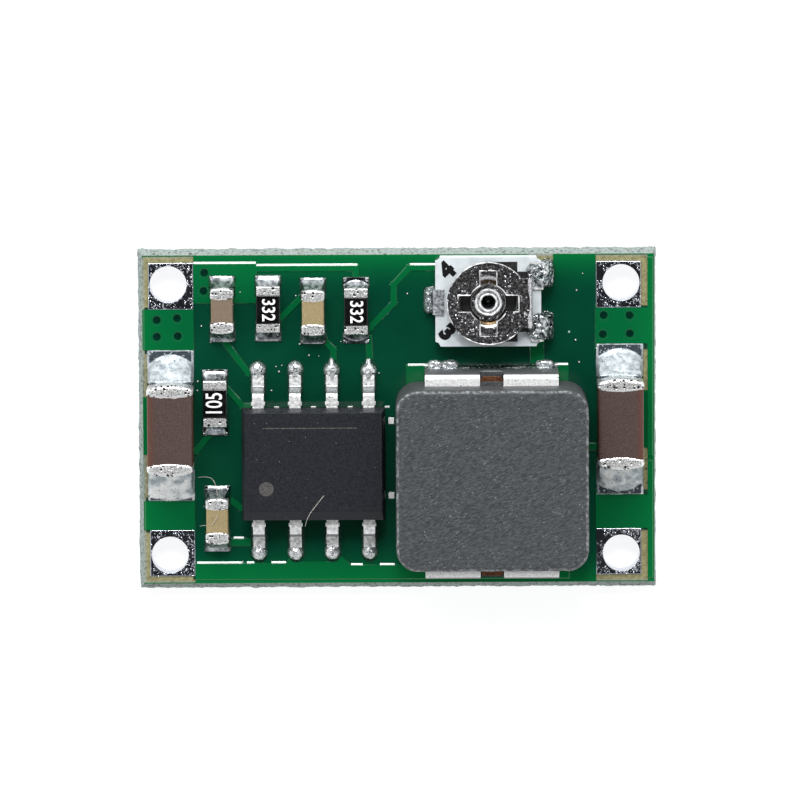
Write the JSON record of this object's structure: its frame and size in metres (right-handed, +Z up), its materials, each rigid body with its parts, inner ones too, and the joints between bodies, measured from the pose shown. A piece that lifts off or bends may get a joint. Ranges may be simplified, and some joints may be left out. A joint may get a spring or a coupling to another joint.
{
  "type": "buck converter module",
  "caption": "Small snapped-out circuit board with a step-down controller, moulded inductor, trimmer and chip parts, and a plated wire hole in each corner.",
  "frame": {"origin": "middle of the four plated corner holes, on the board's underside", "axes": "+X along the board from the input end to the output end, +Y across it to the ground side, +Z up out of the component face"},
  "size_m": [0.0179, 0.0118, 0.0038],
  "materials": {
    "laminate": "glass fibre laminate, torn and pale at the snapped edges",
    "copper": "bare copper foil, covered",
    "solder_mask": "glossy green lacquer",
    "tin": "bright tin plating",
    "solder": "smooth solder",
    "mould_compound": "fine satin moulded epoxy",
    "powder_core": "pressed iron powder, speckled",
    "alumina": "white unglazed alumina",
    "resistive_film": "black printed film",
    "trimmer_steel": "bright stamped steel",
    "small_capacitor_ceramic": "tan fired ceramic",
    "large_capacitor_ceramic": "brown fired ceramic",
    "overcoat": "black glassy coat"
  },
  "bodies": {
    "board": {"board_laminate": "laminate", "boost_capacitor_ceramic": "small_capacitor_ceramic", "boost_capacitor_end_caps": "tin", "boost_capacitor_solder": "solder", "bottom_copper": "copper", "bottom_solder_mask": "solder_mask", "compensation_capacitor_ceramic": "small_capacitor_ceramic", "compensation_capacitor_end_caps": "tin", "compensation_capacitor_solder": "solder", "compensation_resistor_overcoat": "overcoat", "compensation_resistor_solder": "solder", "compensation_resistor_substrate": "alumina", "compensation_resistor_terminals": "tin", "controller_body": "mould_compound", "controller_lead_1": "tin", "controller_lead_2": "tin", "controller_lead_3": "tin", "controller_lead_4": "tin", "controller_lead_5": "tin", "controller_lead_6": "tin", "controller_lead_7": "tin", "controller_lead_8": "tin", "controller_solder": "solder", "enable_resistor_overcoat": "overcoat", "enable_resistor_solder": "solder", "enable_resistor_substrate": "alumina", "enable_resistor_terminals": "tin", "feedback_resistor_overcoat": "overcoat", "feedback_resistor_solder": "solder", "feedback_resistor_substrate": "alumina", "feedback_resistor_terminals": "tin", "inductor_core": "powder_core", "inductor_solder": "solder", "inductor_terminal_front": "tin", "inductor_terminal_rear": "tin", "input_capacitor_ceramic": "large_capacitor_ceramic", "input_capacitor_end_caps": "tin", "input_capacitor_solder": "solder", "output_capacitor_ceramic": "large_capacitor_ceramic", "output_capacitor_end_caps": "tin", "output_capacitor_solder": "solder", "plated_hole_front_left": "tin", "plated_hole_front_right": "tin", "plated_hole_rear_left": "tin", "plated_hole_rear_right": "tin", "soft_start_capacitor_ceramic": "small_capacitor_ceramic", "soft_start_capacitor_end_caps": "tin", "soft_start_capacitor_solder": "solder", "top_copper": "copper", "top_solder_mask": "solder_mask", "trimmer_base": "alumina", "trimmer_collector": "trimmer_steel", "trimmer_solder": "solder", "trimmer_terminal_lower": "tin", "trimmer_terminal_upper": "tin", "trimmer_track": "resistive_film", "via_barrels": "copper"},
    "rotor": {"trimmer_rotor": "trimmer_steel"}
  },
  "joints": [
    {"name": "trimmer_turn", "type": "hinge", "parent": "board", "child": "rotor", "pos_m": [0.00322, 0.00413, 0.0018], "axis": [0, 0, 1], "range_deg": [-115, 115]}
  ]
}
